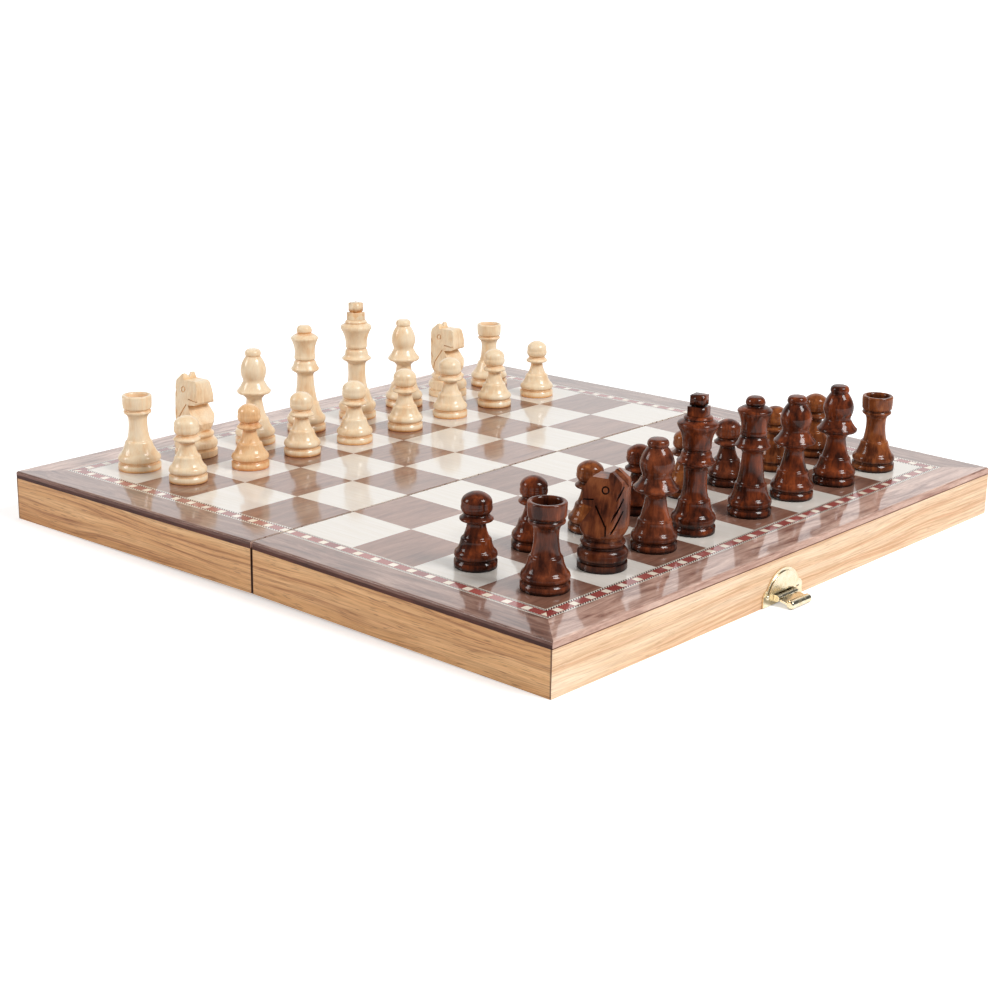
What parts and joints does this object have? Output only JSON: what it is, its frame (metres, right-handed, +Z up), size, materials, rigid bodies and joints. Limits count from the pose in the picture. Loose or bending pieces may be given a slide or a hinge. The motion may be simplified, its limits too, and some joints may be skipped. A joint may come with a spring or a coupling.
{
  "type": "folding wooden games box with chess set",
  "caption": "Folding wooden chess box opened flat, inlaid playing faces up, with turned dark and light chess pieces, brass butt hinges and a brass catch.",
  "frame": {"origin": "on the table under the middle of the whole, catch included; the fold lies 4.8 mm behind it", "axes": "+X along the fold to the right of a player on the catch side, +Y from the catch side across the fold, +Z up off the table"},
  "size_m": [0.34, 0.3532, 0.0873],
  "materials": {
    "inlaid_face": "high-gloss lacquer over inlaid walnut and cream veneer",
    "board_core": "dark brown stain, satin",
    "oak": "clear satin lacquer on pale oak",
    "brass": "polished, lightly worn",
    "dark_stain": "dark stain under gloss lacquer",
    "pale_wood": "clear gloss lacquer",
    "tan_wood": "clear gloss lacquer on a browner wood"
  },
  "bodies": {
    "front_leaf": {"front_playing_face": "inlaid_face", "front_panel": "board_core", "front_outer_wall": "oak", "front_hinge_wall": "oak", "front_left_wall": "oak", "front_right_wall": "oak", "left_hinge_front_plate": "brass", "left_hinge_pin": "brass", "right_hinge_front_plate": "brass", "right_hinge_pin": "brass", "front_hinge_screws": "brass", "latch_plate": "brass", "latch_pin": "brass", "latch_nails": "brass"},
    "rear_leaf": {"rear_playing_face": "inlaid_face", "rear_panel": "board_core", "rear_outer_wall": "oak", "rear_hinge_wall": "oak", "rear_left_wall": "oak", "rear_right_wall": "oak", "left_hinge_rear_plate": "brass", "right_hinge_rear_plate": "brass", "rear_hinge_screws": "brass", "keeper_plate": "brass", "keeper_nails": "brass"},
    "latch_tongue": {"latch_tongue": "brass"},
    "dark_rook_1": {"dark_rook_1": "dark_stain"},
    "dark_knight_1": {"dark_knight_1": "dark_stain"},
    "dark_bishop_1": {"dark_bishop_1": "dark_stain"},
    "dark_king": {"dark_king": "dark_stain"},
    "dark_queen": {"dark_queen": "dark_stain"},
    "dark_bishop_2": {"dark_bishop_2": "dark_stain"},
    "dark_bishop_3": {"dark_bishop_3": "dark_stain"},
    "dark_rook_2": {"dark_rook_2": "dark_stain"},
    "dark_pawn_1": {"dark_pawn_1": "dark_stain"},
    "dark_pawn_2": {"dark_pawn_2": "dark_stain"},
    "dark_pawn_3": {"dark_pawn_3": "dark_stain"},
    "dark_pawn_4": {"dark_pawn_4": "dark_stain"},
    "dark_pawn_5": {"dark_pawn_5": "dark_stain"},
    "dark_pawn_6": {"dark_pawn_6": "dark_stain"},
    "dark_pawn_7": {"dark_pawn_7": "dark_stain"},
    "dark_pawn_8": {"dark_pawn_8": "dark_stain"},
    "light_rook_1": {"light_rook_1": "pale_wood"},
    "light_knight_1": {"light_knight_1": "pale_wood"},
    "light_bishop_1": {"light_bishop_1": "pale_wood"},
    "light_queen": {"light_queen": "pale_wood"},
    "light_king": {"light_king": "pale_wood"},
    "light_bishop_2": {"light_bishop_2": "pale_wood"},
    "light_knight_2": {"light_knight_2": "pale_wood"},
    "light_rook_2": {"light_rook_2": "pale_wood"},
    "light_pawn_1": {"light_pawn_1": "pale_wood"},
    "light_pawn_2": {"light_pawn_2": "tan_wood"},
    "light_pawn_3": {"light_pawn_3": "pale_wood"},
    "light_pawn_4": {"light_pawn_4": "pale_wood"},
    "light_pawn_5": {"light_pawn_5": "pale_wood"},
    "light_pawn_6": {"light_pawn_6": "pale_wood"},
    "light_pawn_7": {"light_pawn_7": "pale_wood"},
    "light_pawn_8": {"light_pawn_8": "pale_wood"}
  },
  "joints": [
    {"name": "box_fold", "type": "hinge", "parent": "front_leaf", "child": "rear_leaf", "pos_m": [0, 0.00477, 0.002], "axis": [1, 0, 0], "range_deg": [-178.6, 2.5]},
    {"name": "latch_swing", "type": "hinge", "parent": "front_leaf", "child": "latch_tongue", "pos_m": [-0.0132, -0.16776, 0.00357], "axis": [1, 0, 0], "range_deg": [-92, 74]},
    {"name": "lift_dark_rook_1", "type": "slide", "parent": "front_leaf", "child": "dark_rook_1", "axis": [0, -0.0118, 0.9999], "range_m": [0, 0.07]},
    {"name": "lift_dark_knight_1", "type": "slide", "parent": "front_leaf", "child": "dark_knight_1", "axis": [0, -0.0118, 0.9999], "range_m": [0, 0.07]},
    {"name": "lift_dark_bishop_1", "type": "slide", "parent": "front_leaf", "child": "dark_bishop_1", "axis": [0, -0.0118, 0.9999], "range_m": [0, 0.07]},
    {"name": "lift_dark_king", "type": "slide", "parent": "front_leaf", "child": "dark_king", "axis": [0, -0.0118, 0.9999], "range_m": [0, 0.07]},
    {"name": "lift_dark_queen", "type": "slide", "parent": "front_leaf", "child": "dark_queen", "axis": [0, -0.0118, 0.9999], "range_m": [0, 0.07]},
    {"name": "lift_dark_bishop_2", "type": "slide", "parent": "front_leaf", "child": "dark_bishop_2", "axis": [0, -0.0118, 0.9999], "range_m": [0, 0.07]},
    {"name": "lift_dark_bishop_3", "type": "slide", "parent": "front_leaf", "child": "dark_bishop_3", "axis": [0, -0.0118, 0.9999], "range_m": [0, 0.07]},
    {"name": "lift_dark_rook_2", "type": "slide", "parent": "front_leaf", "child": "dark_rook_2", "axis": [0, -0.0118, 0.9999], "range_m": [0, 0.07]},
    {"name": "lift_dark_pawn_1", "type": "slide", "parent": "front_leaf", "child": "dark_pawn_1", "axis": [0, -0.0118, 0.9999], "range_m": [0, 0.07]},
    {"name": "lift_dark_pawn_2", "type": "slide", "parent": "front_leaf", "child": "dark_pawn_2", "axis": [0, -0.0118, 0.9999], "range_m": [0, 0.07]},
    {"name": "lift_dark_pawn_3", "type": "slide", "parent": "front_leaf", "child": "dark_pawn_3", "axis": [0, -0.0118, 0.9999], "range_m": [0, 0.07]},
    {"name": "lift_dark_pawn_4", "type": "slide", "parent": "front_leaf", "child": "dark_pawn_4", "axis": [0, -0.0118, 0.9999], "range_m": [0, 0.07]},
    {"name": "lift_dark_pawn_5", "type": "slide", "parent": "front_leaf", "child": "dark_pawn_5", "axis": [0, -0.0118, 0.9999], "range_m": [0, 0.07]},
    {"name": "lift_dark_pawn_6", "type": "slide", "parent": "front_leaf", "child": "dark_pawn_6", "axis": [0, -0.0118, 0.9999], "range_m": [0, 0.07]},
    {"name": "lift_dark_pawn_7", "type": "slide", "parent": "front_leaf", "child": "dark_pawn_7", "axis": [0, -0.0118, 0.9999], "range_m": [0, 0.07]},
    {"name": "lift_dark_pawn_8", "type": "slide", "parent": "front_leaf", "child": "dark_pawn_8", "axis": [0, -0.0118, 0.9999], "range_m": [0, 0.07]},
    {"name": "lift_light_rook_1", "type": "slide", "parent": "rear_leaf", "child": "light_rook_1", "axis": [0, 0.0118, 0.9999], "range_m": [0, 0.07]},
    {"name": "lift_light_knight_1", "type": "slide", "parent": "rear_leaf", "child": "light_knight_1", "axis": [0, 0.0118, 0.9999], "range_m": [0, 0.07]},
    {"name": "lift_light_bishop_1", "type": "slide", "parent": "rear_leaf", "child": "light_bishop_1", "axis": [0, 0.0118, 0.9999], "range_m": [0, 0.07]},
    {"name": "lift_light_queen", "type": "slide", "parent": "rear_leaf", "child": "light_queen", "axis": [0, 0.0118, 0.9999], "range_m": [0, 0.07]},
    {"name": "lift_light_king", "type": "slide", "parent": "rear_leaf", "child": "light_king", "axis": [0, 0.0118, 0.9999], "range_m": [0, 0.07]},
    {"name": "lift_light_bishop_2", "type": "slide", "parent": "rear_leaf", "child": "light_bishop_2", "axis": [0, 0.0118, 0.9999], "range_m": [0, 0.07]},
    {"name": "lift_light_knight_2", "type": "slide", "parent": "rear_leaf", "child": "light_knight_2", "axis": [0, 0.0118, 0.9999], "range_m": [0, 0.07]},
    {"name": "lift_light_rook_2", "type": "slide", "parent": "rear_leaf", "child": "light_rook_2", "axis": [0, 0.0118, 0.9999], "range_m": [0, 0.07]},
    {"name": "lift_light_pawn_1", "type": "slide", "parent": "rear_leaf", "child": "light_pawn_1", "axis": [0, 0.0118, 0.9999], "range_m": [0, 0.07]},
    {"name": "lift_light_pawn_2", "type": "slide", "parent": "rear_leaf", "child": "light_pawn_2", "axis": [0, 0.0118, 0.9999], "range_m": [0, 0.07]},
    {"name": "lift_light_pawn_3", "type": "slide", "parent": "rear_leaf", "child": "light_pawn_3", "axis": [0, 0.0118, 0.9999], "range_m": [0, 0.07]},
    {"name": "lift_light_pawn_4", "type": "slide", "parent": "rear_leaf", "child": "light_pawn_4", "axis": [0, 0.0118, 0.9999], "range_m": [0, 0.07]},
    {"name": "lift_light_pawn_5", "type": "slide", "parent": "rear_leaf", "child": "light_pawn_5", "axis": [0, 0.0118, 0.9999], "range_m": [0, 0.07]},
    {"name": "lift_light_pawn_6", "type": "slide", "parent": "rear_leaf", "child": "light_pawn_6", "axis": [0, 0.0118, 0.9999], "range_m": [0, 0.07]},
    {"name": "lift_light_pawn_7", "type": "slide", "parent": "rear_leaf", "child": "light_pawn_7", "axis": [0, 0.0118, 0.9999], "range_m": [0, 0.07]},
    {"name": "lift_light_pawn_8", "type": "slide", "parent": "rear_leaf", "child": "light_pawn_8", "axis": [0, 0.0118, 0.9999], "range_m": [0, 0.07]}
  ]
}
